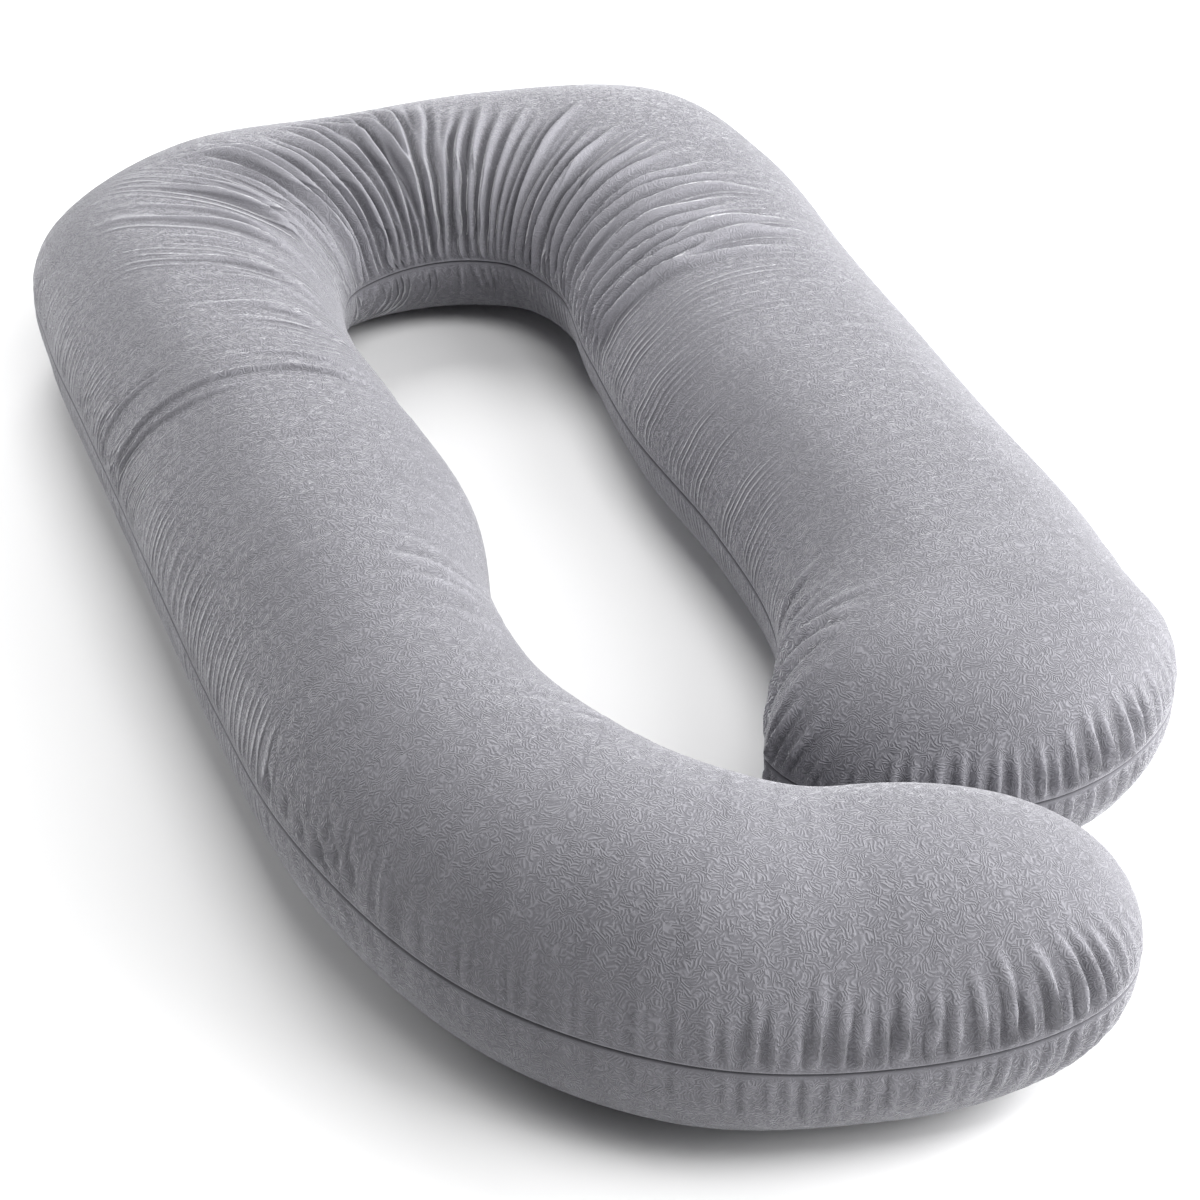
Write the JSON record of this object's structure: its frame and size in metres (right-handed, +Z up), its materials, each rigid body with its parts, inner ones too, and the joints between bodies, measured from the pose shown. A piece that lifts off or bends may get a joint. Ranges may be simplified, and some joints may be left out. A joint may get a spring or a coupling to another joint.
{
  "type": "body pillow",
  "caption": "Full-body pillow: one long plump velvet cushion bent round into an open loop, with a hooked left arm and gathered seam.",
  "frame": {"origin": "middle of the outline, on the floor", "axes": "+Y up the arms to the closed bend, +X from the left arm to the right arm, +Z up"},
  "size_m": [0.7725, 1.4556, 0.235],
  "materials": {
    "velvet_cover": "short-pile crystal velvet, plain grey"
  },
  "bodies": {
    "root": {"body_pillow": "velvet_cover"}
  },
  "joints": []
}
